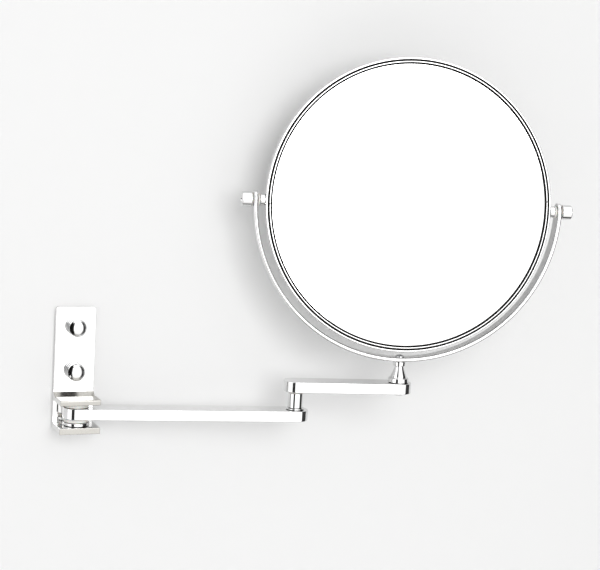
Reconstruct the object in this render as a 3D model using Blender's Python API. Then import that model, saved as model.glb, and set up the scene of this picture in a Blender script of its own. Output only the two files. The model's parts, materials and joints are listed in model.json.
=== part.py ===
"""Wall-mounted shaving mirror on a double swing arm, as separate pieces.

The wall is the plane y = 0 and the object stands out from it towards -Y.
+X is to the right and +Z is up. The origin lies on the wall, level with the lower arm.
"""
import math

import bmesh
import bpy

MM = 0.001
GAP = 0.3 * MM                # clearance between pieces that touch or run on each other
OVERRUN = 5 * MM              # how far a drill passes beyond the faces that it cuts
EDGE_BREAK = 0.5 * MM         # broken edges of turned and extruded pieces

# Pose in which the mirror is set: turned out from the wall, seen from above, and leant back
LOWER_ARM_ANGLE = math.radians(10.3)
UPPER_ARM_ANGLE = math.radians(11.9)
YOKE_ANGLE = math.radians(11.4)
MIRROR_LEAN = math.radians(2.3)

# Wall bracket: one extrusion, a plate with a channel for the arm at its foot
BRACKET_WIDTH = 28 * MM
PLATE_TOP = 71 * MM
PLATE_THICKNESS = 3.2 * MM
PLATE_CORNER = 2.2 * MM
SHOULDER_Z = 12.3 * MM
SHOULDER_FOOT = (-8.9 * MM, 9.2 * MM)
LUG_DEPTH = 24.5 * MM
UPPER_LUG_TOP = 10.4 * MM
UPPER_LUG_BOTTOM = 6.6 * MM
GROOVE_STEP = 1.4 * MM
LOWER_LUG_TOP = -8.7 * MM
LOWER_LUG_BOTTOM = -13 * MM
LUG_DRAFT = 0.4 * MM          # the lugs' front faces slope back by this much
HINGE_Y = -13 * MM
PIN_COVER = 1.2 * MM          # metal left over the pin in the upper lug

# Wall screws under their two-part caps
SCREW_HEIGHTS = {"upper": 57.3 * MM, "lower": 26.8 * MM}
SCREW_SHANK_RADIUS = 2.2 * MM
SCREW_HEAD_RADIUS = 4 * MM
SCREW_HEAD_HEIGHT = 2 * MM
SCREW_HEAD_TAPER = 0.8 * MM
CAP_RADIUS = 6.1 * MM
CAP_BASE_FACE = 7.2 * MM
CAP_RIM_FACE = 11 * MM
CAP_CROWN = 12.6 * MM
CAP_WALL = 0.6 * MM           # also the height of the neck between base and head
CAP_NECK_INSET = 0.8 * MM
CAP_DOME_STEPS = 5

# Ring stack that fills the channel around the wall pin
LOWER_WASHER_HEIGHT = 2.1 * MM
WASHER_INSET = 1 * MM
SPACER_INSET = 0.3 * MM

# Arms: flat bars with full-round ends
ARM_HALF_WIDTH = 9.3 * MM
ARM_HEIGHT = 7.5 * MM
LOWER_ARM_LENGTH = 152 * MM
UPPER_ARM_LENGTH = 73.5 * MM
ELBOW_SPACE = 13.2 * MM
PIN_RADIUS = 3 * MM
BUSH_RADIUS = 4.5 * MM
POST_RADIUS = 5.3 * MM
BOLT_RADIUS = 2.5 * MM
BOLT_HEAD_RADIUS = 4.6 * MM
BOLT_HEAD_LOW = 0.2 * MM      # from the lower arm's underside
BOLT_HEAD_HIGH = 2.5 * MM
BOLT_TOP_COVER = 1.3 * MM     # metal left over the bolt in the upper arm
FOOT_RING_OVERHANG = 1.2 * MM
FRICTION_WASHER_OVERHANG = 0.4 * MM
THIN_WASHER = 0.8 * MM
ARM_END_STEPS = 12

# Swivel at the end of the upper arm
BELL_RADIUS = 7.4 * MM
BELL_HEIGHT = 11.3 * MM
BELL_FLANGE = 3.2 * MM
BELL_WALL = 2 * MM
BELL_STEP = 0.2 * MM          # the fine line between flange and flare
BELL_FLARE_INSET = 1.2 * MM
BELL_FLARE_POWER = 1.25
BELL_FLARE_STEPS = 6
SPRING_WASHER_HEIGHT = 1.4 * MM
BELL_TOP_RADIUS = 3.2 * MM
NECK_RADIUS = 4.6 * MM
SPIGOT_RADIUS = 2.3 * MM
SWIVEL_BORE = 1.6 * MM
SCREW_CORE = 1.3 * MM
STEM_FOOT = 0.7 * MM          # how far the stem ends above the upper arm's underside
STEM_LOWER_THREAD = 10.5 * MM
STEM_UPPER_THREAD = 8 * MM
STEM_TAPER = 0.4 * MM         # the stem's collar widens upwards by this much
SWIVEL_HEAD_RADIUS = 4 * MM
SWIVEL_HEAD_HEIGHT = 1.2 * MM
YOKE_HEAD_RADIUS = 3.2 * MM
YOKE_HEAD_RIM = 0.4 * MM
YOKE_HEAD_CROWN = 1.3 * MM

# Yoke and mirror
MIRROR_CENTRE_Z = 149.9 * MM
YOKE_INNER = 108.1 * MM
YOKE_THICKNESS = 3 * MM
YOKE_WIDTH = 11 * MM
YOKE_TIP_RISE = 6.2 * MM      # how far each end stands above its pivot
YOKE_BOTTOM_INNER = 107.2 * MM
YOKE_EDGE = 1.2 * MM
YOKE_TIP_STEPS = 5
YOKE_ARC_STEPS = 44
HOOP_OUTER = 103 * MM
HOOP_INNER = 100.4 * MM
HOOP_HALF_DEPTH = 4.2 * MM
HOOP_EDGE = 1 * MM
HOOP_CROWN = 0.25 * MM        # the outer face swells by this much
BEZEL_OUTER = 100.1 * MM
BEZEL_INNER = 98.4 * MM
BEZEL_FACE = 4.5 * MM
BEZEL_BACK = 3.7 * MM
BEZEL_BEVEL = 0.6 * MM
GLASS_RADIUS = 99.7 * MM
GLASS_FACE = 3.4 * MM
GLASS_THICKNESS = 2 * MM
MAGNIFIER_DISH = 1.5 * MM
MAGNIFIER_RINGS = 3

# Tilt pivots, measured outwards along the tilt axis from the mirror's centre
BOSS_RADIUS = 4.1 * MM
BOSS_SPIGOT_RADIUS = 2.6 * MM
BOSS_START = 100.7 * MM
BOSS_FACE = 106.2 * MM
KNOB_RADIUS = 5.3 * MM
KNOB_START = 112 * MM
KNOB_END = 119.2 * MM
KNOB_ROUND = 0.8 * MM
KNOB_DIMPLE_RADIUS = 2.2 * MM
KNOB_DIMPLE_DEPTH = 0.8 * MM
STUD_RADIUS = 1.7 * MM
STUD_START = 101 * MM
STUD_SETBACK = 2.4 * MM       # from the knob's end face

SHARP_ANGLE = math.radians(35)
RING_SEGMENTS = 64
TURNED_SEGMENTS = 24

FINISHES = {
    # name: (colour, metallic, roughness)
    "chrome": ((0.86, 0.87, 0.88, 1), 1.0, 0.06),
    "mirror_glass": ((0.95, 0.96, 0.96, 1), 1.0, 0.02),
    "nylon": ((0.85, 0.85, 0.82, 1), 0.0, 0.45),
    "steel": ((0.62, 0.62, 0.63, 1), 1.0, 0.3),
    "spring_steel": ((0.45, 0.45, 0.46, 1), 1.0, 0.35),
    "core_board": ((0.2, 0.2, 0.21, 1), 0.0, 0.7),
}


def clear_scene():
    for item in list(bpy.data.objects):
        bpy.data.objects.remove(item, do_unlink=True)


def finish(piece_name, kind):
    """A Principled material of its own for each piece."""
    colour, metallic, roughness = FINISHES[kind]
    material = bpy.data.materials.new(piece_name)
    material.use_nodes = True
    shader = material.node_tree.nodes["Principled BSDF"]
    shader.inputs["Base Color"].default_value = colour
    shader.inputs["Metallic"].default_value = metallic
    shader.inputs["Roughness"].default_value = roughness
    return material


def place(piece, parent=None, at=(0, 0, 0), turn=(0, 0, 0)):
    piece.parent = parent
    piece.location = at
    piece.rotation_euler = turn
    return piece


def frame_empty(name, parent, at, turn=(0, 0, 0)):
    """An empty on a joint's axis, which carries the pieces that turn with it."""
    empty = bpy.data.objects.new(name, None)
    bpy.context.scene.collection.objects.link(empty)
    return place(empty, parent, at, turn)


def mesh_object(name, shape, kind):
    """Turn a bmesh into a named object with smooth sides and sharp edges."""
    bmesh.ops.recalc_face_normals(shape, faces=shape.faces)
    mesh = bpy.data.meshes.new(name)
    shape.to_mesh(mesh)
    shape.free()
    mesh.shade_smooth()
    mesh.set_sharp_from_angle(angle=SHARP_ANGLE)
    piece = bpy.data.objects.new(name, mesh)
    bpy.context.scene.collection.objects.link(piece)
    if kind:
        mesh.materials.append(finish(name, kind))
    return piece


def turned(name, profile, kind, segments=TURNED_SEGMENTS):
    """Turn a closed outline of (radius, height) points about the Z axis."""
    shape = bmesh.new()
    rings = []
    for radius, height in profile:
        if radius < 1e-7:
            rings.append([shape.verts.new((0, 0, height))])
            continue
        rings.append([
            shape.verts.new((radius * math.cos(angle), radius * math.sin(angle), height))
            for angle in (2 * math.pi * step / segments for step in range(segments))])
    for this_ring, next_ring in zip(rings, rings[1:] + rings[:1]):
        if len(this_ring) == 1 and len(next_ring) == 1:
            continue
        for step in range(segments):
            after = (step + 1) % segments
            corners = [this_ring[step % len(this_ring)], this_ring[after % len(this_ring)],
                       next_ring[after % len(next_ring)], next_ring[step % len(next_ring)]]
            shape.faces.new(list(dict.fromkeys(corners)))
    return mesh_object(name, shape, kind)


def ring_profile(inner, outer, low, high):
    return [(inner, low), (outer, low), (outer, high), (inner, high)]


def prism(name, outline, depth, kind):
    """Extrude a closed outline of (x, y) points upwards by depth."""
    shape = bmesh.new()
    face = shape.faces.new([shape.verts.new((x, y, 0)) for x, y in outline])
    lifted = bmesh.ops.extrude_face_region(shape, geom=[face])["geom"]
    bmesh.ops.translate(shape, vec=(0, 0, depth),
                        verts=[part for part in lifted if isinstance(part, bmesh.types.BMVert)])
    return mesh_object(name, shape, kind)


def drill(piece, name, radius, low, high, parent=None, at=(0, 0, 0), turn=(0, 0, 0)):
    """Cut a round hole from low to high along the cutter's own Z axis."""
    cutter = turned(name, [(0, low), (radius, low), (radius, high), (0, high)], None)
    place(cutter, parent, at, turn)
    cutter.hide_render = True
    cutter.display_type = "WIRE"
    cut = piece.modifiers.new(name, "BOOLEAN")
    cut.operation = "DIFFERENCE"
    cut.solver = "EXACT"
    cut.object = cutter


def make_bracket():
    """The extruded bracket: plate, shoulder with its groove, and the two hinge lugs."""
    foot_y, foot_z = SHOULDER_FOOT
    outline = [
        (0, LOWER_LUG_BOTTOM),
        (0, PLATE_TOP),
        (-PLATE_THICKNESS, PLATE_TOP),
        (-PLATE_THICKNESS, SHOULDER_Z),
        (foot_y, foot_z),
        (foot_y - GROOVE_STEP, UPPER_LUG_TOP),
        (-LUG_DEPTH + EDGE_BREAK, UPPER_LUG_TOP),
        (-LUG_DEPTH, UPPER_LUG_TOP - EDGE_BREAK),
        (-LUG_DEPTH + LUG_DRAFT, UPPER_LUG_BOTTOM),
        (-PLATE_THICKNESS, UPPER_LUG_BOTTOM),
        (-PLATE_THICKNESS, LOWER_LUG_TOP),
        (-LUG_DEPTH, LOWER_LUG_TOP),
        (-LUG_DEPTH + LUG_DRAFT, LOWER_LUG_BOTTOM),
    ]
    shape = bmesh.new()
    half = BRACKET_WIDTH / 2
    side = shape.faces.new([shape.verts.new((-half, y, z)) for y, z in outline])
    pulled = bmesh.ops.extrude_face_region(shape, geom=[side])["geom"]
    bmesh.ops.translate(shape, vec=(BRACKET_WIDTH, 0, 0),
                        verts=[part for part in pulled if isinstance(part, bmesh.types.BMVert)])
    top_corners = [edge for edge in shape.edges
                   if all(abs(vert.co.z - PLATE_TOP) < 1e-6 for vert in edge.verts)
                   and abs(edge.verts[0].co.x - edge.verts[1].co.x) < 1e-6]
    bmesh.ops.bevel(shape, geom=top_corners, offset=PLATE_CORNER, segments=5, affect="EDGES",
                    profile=0.5)
    bracket = mesh_object("wall_bracket", shape, "chrome")
    for place_name, height in SCREW_HEIGHTS.items():
        drill(bracket, "screw_hole_" + place_name, SCREW_SHANK_RADIUS + GAP, -OVERRUN, OVERRUN,
              at=(0, 0, height), turn=(math.pi / 2, 0, 0))
    drill(bracket, "pin_hole", PIN_RADIUS + GAP, LOWER_LUG_BOTTOM - OVERRUN,
          UPPER_LUG_TOP - PIN_COVER, at=(0, HINGE_Y, 0))


def make_wall_fixings():
    """Screw, cap base and domed cap, turned about an axis that points out from the wall."""
    shank = SCREW_SHANK_RADIUS
    head_back = CAP_BASE_FACE + GAP
    head_face = head_back + SCREW_HEAD_HEIGHT
    neck = CAP_RADIUS - CAP_NECK_INSET
    cavity = SCREW_HEAD_RADIUS + EDGE_BREAK
    screw = [(0, GAP), (shank, GAP), (shank, head_back), (SCREW_HEAD_RADIUS, head_back),
             (SCREW_HEAD_RADIUS - SCREW_HEAD_TAPER, head_face), (0, head_face)]
    base_start = PLATE_THICKNESS + GAP
    base = [(shank + GAP, base_start), (CAP_RADIUS, base_start),
            (CAP_RADIUS, CAP_BASE_FACE - EDGE_BREAK), (CAP_RADIUS - EDGE_BREAK, CAP_BASE_FACE),
            (shank + GAP, CAP_BASE_FACE)]
    cap_start = CAP_BASE_FACE + GAP
    cap = [(cavity, cap_start), (neck, cap_start), (neck, cap_start + CAP_WALL),
           (CAP_RADIUS, cap_start + CAP_WALL), (CAP_RADIUS, CAP_RIM_FACE)]
    for step in range(1, CAP_DOME_STEPS):
        climb = math.pi / 2 * step / CAP_DOME_STEPS
        cap.append((CAP_RADIUS * math.cos(climb),
                    CAP_RIM_FACE + (CAP_CROWN - CAP_RIM_FACE) * math.sin(climb)))
    cap += [(0, CAP_CROWN), (0, head_face + CAP_WALL), (cavity, head_face + CAP_WALL)]
    for place_name, height in SCREW_HEIGHTS.items():
        outwards = {"at": (0, 0, height), "turn": (math.pi / 2, 0, 0)}
        place(turned("wall_screw_" + place_name, screw, "steel"), **outwards)
        place(turned("cap_base_" + place_name, base, "chrome"), **outwards)
        place(turned("screw_cap_" + place_name, cap, "chrome"), **outwards)


def make_wall_hinge():
    """Pin pressed into the lugs, with the washers that fill the channel above and below."""
    half_arm = ARM_HEIGHT / 2
    at_hinge = (0, HINGE_Y, 0)
    low_end = LOWER_LUG_BOTTOM + GAP
    high_end = UPPER_LUG_TOP - PIN_COVER - GAP
    pin = turned("wall_pivot_pin",
                 [(0, low_end), (PIN_RADIUS, low_end), (PIN_RADIUS, high_end), (0, high_end)],
                 "steel")
    place(pin, at=at_hinge)
    bore = PIN_RADIUS + GAP
    washer = ARM_HALF_WIDTH - WASHER_INSET
    washer_low = -half_arm - GAP - LOWER_WASHER_HEIGHT
    stack = {
        "wall_washer_upper": (half_arm + GAP, UPPER_LUG_BOTTOM - GAP, washer, "nylon"),
        "wall_washer_lower": (washer_low, -half_arm - GAP, washer, "nylon"),
        "wall_spacer_ring": (LOWER_LUG_TOP + GAP, washer_low - GAP, ARM_HALF_WIDTH - SPACER_INSET,
                             "chrome"),
    }
    for name, (low, high, radius, kind) in stack.items():
        place(turned(name, ring_profile(bore, radius, low, high), kind), at=at_hinge)


def arm_outline(length):
    """A bar's outline: two straight sides and a half circle at each end."""
    points = []
    for centre, start in ((0, math.pi / 2), (length, -math.pi / 2)):
        for step in range(ARM_END_STEPS + 1):
            angle = start + math.pi * step / ARM_END_STEPS
            points.append((centre + ARM_HALF_WIDTH * math.cos(angle),
                           ARM_HALF_WIDTH * math.sin(angle)))
    return points


def make_lower_arm(hinge):
    """The long bar, its plastic bush, and the post and bolt that carry the short bar."""
    half_arm = ARM_HEIGHT / 2
    arm = place(prism("lower_arm", arm_outline(LOWER_ARM_LENGTH), ARM_HEIGHT, "chrome"),
                hinge, (0, 0, -half_arm))
    elbow = (LOWER_ARM_LENGTH, 0, 0)
    drill(arm, "bush_hole", BUSH_RADIUS + GAP, -half_arm - OVERRUN, half_arm + OVERRUN, hinge)
    drill(arm, "bolt_hole", BOLT_RADIUS + GAP, -half_arm - OVERRUN, half_arm + OVERRUN, hinge, elbow)
    drill(arm, "bolt_head_hole", BOLT_HEAD_RADIUS + GAP, -half_arm - OVERRUN,
          -half_arm + BOLT_HEAD_HIGH + GAP, hinge, elbow)
    bush = turned("lower_arm_bush",
                  ring_profile(PIN_RADIUS + GAP, BUSH_RADIUS, -half_arm, half_arm), "nylon")
    place(bush, hinge)

    bore = BOLT_RADIUS + GAP
    foot_low = half_arm + GAP
    foot_high = foot_low + THIN_WASHER
    post_high = half_arm + ELBOW_SPACE - 2 * GAP - THIN_WASHER
    foot = ring_profile(bore, POST_RADIUS + FOOT_RING_OVERHANG, foot_low, foot_high)
    place(turned("elbow_foot_ring", foot, "chrome"), hinge, elbow)
    post = ring_profile(bore, POST_RADIUS, foot_high + GAP, post_high)
    place(turned("elbow_post", post, "chrome"), hinge, elbow)
    head_low = -half_arm + BOLT_HEAD_LOW
    head_high = -half_arm + BOLT_HEAD_HIGH
    bolt_top = half_arm + ELBOW_SPACE + ARM_HEIGHT - BOLT_TOP_COVER - GAP
    place(turned("elbow_bolt",
                 [(0, head_low), (BOLT_HEAD_RADIUS, head_low), (BOLT_HEAD_RADIUS, head_high),
                  (BOLT_RADIUS, head_high), (BOLT_RADIUS, bolt_top), (0, bolt_top)], "steel"),
          hinge, elbow)


def make_upper_arm(elbow):
    """The short bar on its friction washer, and the bell that stands on its end."""
    half_arm = ARM_HEIGHT / 2
    low = half_arm + ELBOW_SPACE
    high = low + ARM_HEIGHT
    arm = place(prism("upper_arm", arm_outline(UPPER_ARM_LENGTH), ARM_HEIGHT, "chrome"),
                elbow, (0, 0, low))
    drill(arm, "elbow_bore", BOLT_RADIUS + GAP, low - OVERRUN, high - BOLT_TOP_COVER, elbow)
    end = (UPPER_ARM_LENGTH, 0, 0)
    drill(arm, "swivel_bore", SPIGOT_RADIUS + GAP, low - OVERRUN, high + OVERRUN, elbow, end)
    washer = ring_profile(BOLT_RADIUS + GAP, POST_RADIUS + FRICTION_WASHER_OVERHANG,
                          low - GAP - THIN_WASHER, low - GAP)
    place(turned("elbow_washer", washer, "nylon"), elbow)

    floor = high + GAP
    bore = SPIGOT_RADIUS + GAP
    flare_low = floor + BELL_FLANGE + BELL_STEP
    hollow = BELL_RADIUS - BELL_WALL
    bell = [(hollow, floor), (BELL_RADIUS, floor), (BELL_RADIUS - BELL_STEP, floor + BELL_FLANGE / 3),
            (BELL_RADIUS - BELL_FLARE_INSET + BELL_STEP, floor + BELL_FLANGE)]
    for step in range(BELL_FLARE_STEPS + 1):
        rise = step / BELL_FLARE_STEPS
        spread = BELL_RADIUS - BELL_FLARE_INSET - BELL_TOP_RADIUS
        bell.append((BELL_TOP_RADIUS + spread * (1 - rise) ** BELL_FLARE_POWER,
                     flare_low + (BELL_HEIGHT - BELL_FLANGE - BELL_STEP) * rise))
    bell += [(bore, floor + BELL_HEIGHT), (bore, flare_low), (hollow, flare_low)]
    place(turned("swivel_bell", bell, "chrome"), elbow, end)
    spring_top = floor + SPRING_WASHER_HEIGHT
    spring_washer = ring_profile(bore, hollow - GAP, floor, spring_top)
    place(turned("swivel_spring_washer", spring_washer, "spring_steel"), elbow, end)
    nylon_washer = ring_profile(bore, hollow - GAP, spring_top + GAP, flare_low - GAP)
    place(turned("swivel_nylon_washer", nylon_washer, "nylon"), elbow, end)


def yoke_sections():
    """Angle round the mirror, height above it and half width of each section, tip to tip."""
    half_width = YOKE_WIDTH / 2
    tip = []
    for step in range(YOKE_TIP_STEPS):
        round_angle = math.pi / 2 * (YOKE_TIP_STEPS - step) / (YOKE_TIP_STEPS + 0.5)
        tip.append((YOKE_TIP_RISE * math.sin(round_angle), half_width * math.cos(round_angle)))
    arc = [(math.pi + math.pi * step / YOKE_ARC_STEPS, 0, half_width)
           for step in range(YOKE_ARC_STEPS + 1)]
    left_tip = [(math.pi, climb, width) for climb, width in tip]
    right_tip = [(2 * math.pi, climb, width) for climb, width in reversed(tip)]
    return left_tip + arc + right_tip


def make_yoke(swivel):
    """The half-round fork: a flat band with rounded edges and ends, a little flattened below."""
    outer = YOKE_INNER + YOKE_THICKNESS
    flattening = YOKE_INNER - YOKE_BOTTOM_INNER
    shape = bmesh.new()
    rings = []
    for angle, climb, half_width in yoke_sections():
        edge = min(YOKE_EDGE, half_width * 0.6)
        across = [(YOKE_INNER, half_width - edge), (YOKE_INNER + YOKE_EDGE, half_width),
                  (outer - YOKE_EDGE, half_width), (outer, half_width - edge)]
        loop = across + [(radius, -y) for radius, y in reversed(across)]
        rings.append([shape.verts.new((radius * math.cos(angle), y,
                                       (radius - flattening) * math.sin(angle) + climb))
                      for radius, y in loop])
    for this_ring, next_ring in zip(rings, rings[1:]):
        count = len(this_ring)
        for step in range(count):
            after = (step + 1) % count
            shape.faces.new([this_ring[step], this_ring[after], next_ring[after], next_ring[step]])
    shape.faces.new(list(reversed(rings[0])))
    shape.faces.new(rings[-1])
    yoke = place(mesh_object("yoke", shape, "chrome"), swivel, (0, 0, MIRROR_CENTRE_Z))
    drill(yoke, "yoke_pivot_holes", STUD_RADIUS + GAP, -outer - OVERRUN, outer + OVERRUN,
          swivel, (0, 0, MIRROR_CENTRE_Z), (0, math.pi / 2, 0))
    drill(yoke, "yoke_screw_hole", SCREW_CORE + GAP, -outer - OVERRUN, -YOKE_INNER + OVERRUN,
          swivel, (0, 0, MIRROR_CENTRE_Z))


def make_swivel_core(swivel):
    """The stem that turns inside the bell, with a screw into each end."""
    half_arm = ARM_HEIGHT / 2
    arm_low = half_arm + ELBOW_SPACE
    collar = arm_low + ARM_HEIGHT + 2 * GAP + BELL_HEIGHT
    top = MIRROR_CENTRE_Z - YOKE_BOTTOM_INNER - YOKE_THICKNESS - GAP
    foot = arm_low + STEM_FOOT
    lower_bore_end = foot + STEM_LOWER_THREAD
    upper_bore_end = top - STEM_UPPER_THREAD
    stem = [(SWIVEL_BORE, foot), (SPIGOT_RADIUS, foot), (SPIGOT_RADIUS, collar),
            (NECK_RADIUS - STEM_TAPER, collar), (NECK_RADIUS, top), (SWIVEL_BORE, top),
            (SWIVEL_BORE, upper_bore_end), (0, upper_bore_end), (0, lower_bore_end),
            (SWIVEL_BORE, lower_bore_end)]
    place(turned("swivel_stem", stem, "chrome"), swivel)

    head_top = arm_low - GAP
    head_low = head_top - SWIVEL_HEAD_HEIGHT
    place(turned("swivel_screw", [
        (0, head_low), (SWIVEL_HEAD_RADIUS - EDGE_BREAK, head_low),
        (SWIVEL_HEAD_RADIUS, head_low + EDGE_BREAK), (SWIVEL_HEAD_RADIUS, head_top),
        (SCREW_CORE, head_top), (SCREW_CORE, lower_bore_end - GAP), (0, lower_bore_end - GAP)],
        "steel"), swivel)

    seat = MIRROR_CENTRE_Z - YOKE_BOTTOM_INNER + GAP
    crown = seat + YOKE_HEAD_CROWN
    place(turned("yoke_screw", [
        (0, upper_bore_end + GAP), (SCREW_CORE, upper_bore_end + GAP), (SCREW_CORE, seat),
        (YOKE_HEAD_RADIUS, seat), (YOKE_HEAD_RADIUS, seat + YOKE_HEAD_RIM),
        (YOKE_HEAD_RADIUS * 0.6, crown - BELL_STEP), (0, crown)], "steel"), swivel)


def make_mirror(tilt):
    """Hoop, two snap-in bezels, two glasses and the board between them.

    The outlines are turned about Z, then laid over so that the front looks along -Y.
    """
    laid = {"parent": tilt, "turn": (math.pi / 2, 0, 0)}
    shoulder = HOOP_HALF_DEPTH - HOOP_EDGE
    hoop = turned("mirror_hoop", [
        (HOOP_INNER, -HOOP_HALF_DEPTH), (HOOP_OUTER - HOOP_EDGE, -HOOP_HALF_DEPTH),
        (HOOP_OUTER - HOOP_CROWN, -shoulder), (HOOP_OUTER, 0), (HOOP_OUTER - HOOP_CROWN, shoulder),
        (HOOP_OUTER - HOOP_EDGE, HOOP_HALF_DEPTH), (HOOP_INNER, HOOP_HALF_DEPTH)],
        "chrome", RING_SEGMENTS)
    place(hoop, **laid)
    drill(hoop, "boss_holes", BOSS_SPIGOT_RADIUS + GAP, -HOOP_OUTER - OVERRUN, HOOP_OUTER + OVERRUN,
          tilt, (0, 0, 0), (0, math.pi / 2, 0))

    for name, side in (("front_bezel", 1), ("rear_bezel", -1)):
        outline = [(BEZEL_INNER, side * BEZEL_BACK), (BEZEL_OUTER, side * BEZEL_BACK),
                   (BEZEL_OUTER, side * (BEZEL_FACE - BEZEL_BEVEL)),
                   (BEZEL_OUTER - BEZEL_BEVEL, side * BEZEL_FACE),
                   (BEZEL_INNER + BEZEL_BEVEL, side * BEZEL_FACE)]
        place(turned(name, outline, "chrome", RING_SEGMENTS), **laid)

    glass_back = GLASS_FACE - GLASS_THICKNESS
    plain = [(0, glass_back), (GLASS_RADIUS, glass_back), (GLASS_RADIUS, GLASS_FACE), (0, GLASS_FACE)]
    place(turned("plain_glass", plain, "mirror_glass", RING_SEGMENTS), **laid)
    reaches = [step / MAGNIFIER_RINGS for step in range(MAGNIFIER_RINGS + 1)]
    bowed = [(GLASS_RADIUS * reach, MAGNIFIER_DISH * (1 - reach ** 2)) for reach in reaches]
    outer_face = [(radius, bow - GLASS_FACE) for radius, bow in bowed]
    inner_face = [(radius, bow - glass_back) for radius, bow in reversed(bowed)]
    place(turned("magnifying_glass", outer_face + inner_face, "mirror_glass", RING_SEGMENTS), **laid)
    board_high = glass_back - GAP
    board_low = -glass_back + MAGNIFIER_DISH + GAP
    board = [(0, board_low), (GLASS_RADIUS, board_low), (GLASS_RADIUS, board_high), (0, board_high)]
    place(turned("core_board", board, "core_board", RING_SEGMENTS), **laid)


def make_tilt_pivot(side, swivel, tilt):
    """One side's boss, washers, stud and clamping knob, turned about the outward axis."""
    sign = -1 if side == "left" else 1
    outward = (0, sign * math.pi / 2, 0)
    bore = STUD_RADIUS + GAP
    boss = [(bore, BOSS_START), (BOSS_SPIGOT_RADIUS, BOSS_START),
            (BOSS_SPIGOT_RADIUS, HOOP_OUTER + GAP), (BOSS_RADIUS, HOOP_OUTER + GAP),
            (BOSS_RADIUS, BOSS_FACE), (bore, BOSS_FACE)]
    place(turned("pivot_boss_" + side, boss, "chrome"), tilt, turn=outward)
    washer = ring_profile(bore, BOSS_RADIUS, BOSS_FACE + GAP, YOKE_INNER - GAP)
    place(turned("tilt_washer_" + side, washer, "nylon"), swivel, (0, 0, MIRROR_CENTRE_Z), outward)

    axis = frame_empty("knob_axis_" + side, tilt, (0, 0, 0), outward)
    washer_start = YOKE_INNER + YOKE_THICKNESS + GAP
    washer = ring_profile(bore, KNOB_RADIUS - EDGE_BREAK, washer_start, KNOB_START - GAP)
    place(turned("knob_washer_" + side, washer, "nylon"), axis)
    stud_end = KNOB_END - STUD_SETBACK
    dimple_floor = KNOB_END - KNOB_DIMPLE_DEPTH
    corner = 0.3 * KNOB_ROUND
    knob = [(bore, KNOB_START), (KNOB_RADIUS - EDGE_BREAK, KNOB_START),
            (KNOB_RADIUS, KNOB_START + EDGE_BREAK), (KNOB_RADIUS, KNOB_END - KNOB_ROUND),
            (KNOB_RADIUS - corner, KNOB_END - corner), (KNOB_RADIUS - KNOB_ROUND, KNOB_END),
            (KNOB_DIMPLE_RADIUS, KNOB_END), (KNOB_DIMPLE_RADIUS, dimple_floor), (0, dimple_floor),
            (0, stud_end + GAP), (bore, stud_end + GAP)]
    place(turned("knob_" + side, knob, "chrome"), axis)
    stud = [(0, STUD_START), (STUD_RADIUS, STUD_START), (STUD_RADIUS, stud_end), (0, stud_end)]
    place(turned("knob_stud_" + side, stud, "steel"), axis)


clear_scene()
make_bracket()
make_wall_fixings()
make_wall_hinge()
wall_hinge = frame_empty("wall_hinge", None, (0, HINGE_Y, 0), (0, 0, -LOWER_ARM_ANGLE))
make_lower_arm(wall_hinge)
elbow_hinge = frame_empty("elbow_hinge", wall_hinge, (LOWER_ARM_LENGTH, 0, 0),
                          (0, 0, LOWER_ARM_ANGLE - UPPER_ARM_ANGLE))
make_upper_arm(elbow_hinge)
yoke_swivel = frame_empty("yoke_swivel", elbow_hinge, (UPPER_ARM_LENGTH, 0, 0),
                          (0, 0, UPPER_ARM_ANGLE - YOKE_ANGLE))
make_swivel_core(yoke_swivel)
make_yoke(yoke_swivel)
mirror_tilt = frame_empty("mirror_tilt", yoke_swivel, (0, 0, MIRROR_CENTRE_Z),
                          (-MIRROR_LEAN, 0, 0))
make_mirror(mirror_tilt)
for pivot_side in ("left", "right"):
    make_tilt_pivot(pivot_side, yoke_swivel, mirror_tilt)
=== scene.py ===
"""Shaving mirror on a double swing arm, as it is put together: wall, bars, fork, mirror, knobs."""
import json
import math

import bmesh
import bpy
from mathutils import Matrix, Vector


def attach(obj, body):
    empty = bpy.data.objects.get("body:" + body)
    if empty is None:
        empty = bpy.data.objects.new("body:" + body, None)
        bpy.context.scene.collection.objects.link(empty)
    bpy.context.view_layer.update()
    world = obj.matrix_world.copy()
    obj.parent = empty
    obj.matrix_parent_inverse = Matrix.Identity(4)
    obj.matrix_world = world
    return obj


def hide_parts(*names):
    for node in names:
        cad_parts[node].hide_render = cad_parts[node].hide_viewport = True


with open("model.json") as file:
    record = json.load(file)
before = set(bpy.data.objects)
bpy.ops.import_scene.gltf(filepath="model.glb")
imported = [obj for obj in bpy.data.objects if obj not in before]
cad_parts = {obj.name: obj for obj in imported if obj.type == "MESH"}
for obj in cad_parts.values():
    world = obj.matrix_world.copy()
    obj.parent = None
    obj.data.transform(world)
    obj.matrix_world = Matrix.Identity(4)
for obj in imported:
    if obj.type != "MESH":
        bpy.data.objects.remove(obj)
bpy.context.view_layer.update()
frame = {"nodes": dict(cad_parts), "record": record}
MM = 0.001

# ---------------------------------------------------------------------------------------------
# Wall bracket. One length of extruded brass, sawn off, drilled for two screws and the hinge pin,
# with its edges broken on a belt, then polished and chrome plated.
# ---------------------------------------------------------------------------------------------
BRACKET_HALF_WIDTH = 14 * MM
PLATE_TOP = 71 * MM
PLATE_CORNER = 2.2 * MM
PIN_RADIUS = 3 * MM
BRACKET_BREAK = 0.35 * MM
SCREW_HEIGHTS = (26.8 * MM, 57.3 * MM)
SCREW_BORE = 2.5 * MM
PIN_BORE = PIN_RADIUS + 0.3 * MM
PIN_BORE_TOP = 9.2 * MM
LUG_FRONT = -24 * MM
SHOULDER_LOW, SHOULDER_HIGH = 9 * MM, 12.4 * MM
joints = {joint["name"]: joint for joint in frame["record"]["behaviour"]["joints"]}
hinge_place = Vector(joints["wall_hinge"]["pos_m"])


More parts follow.
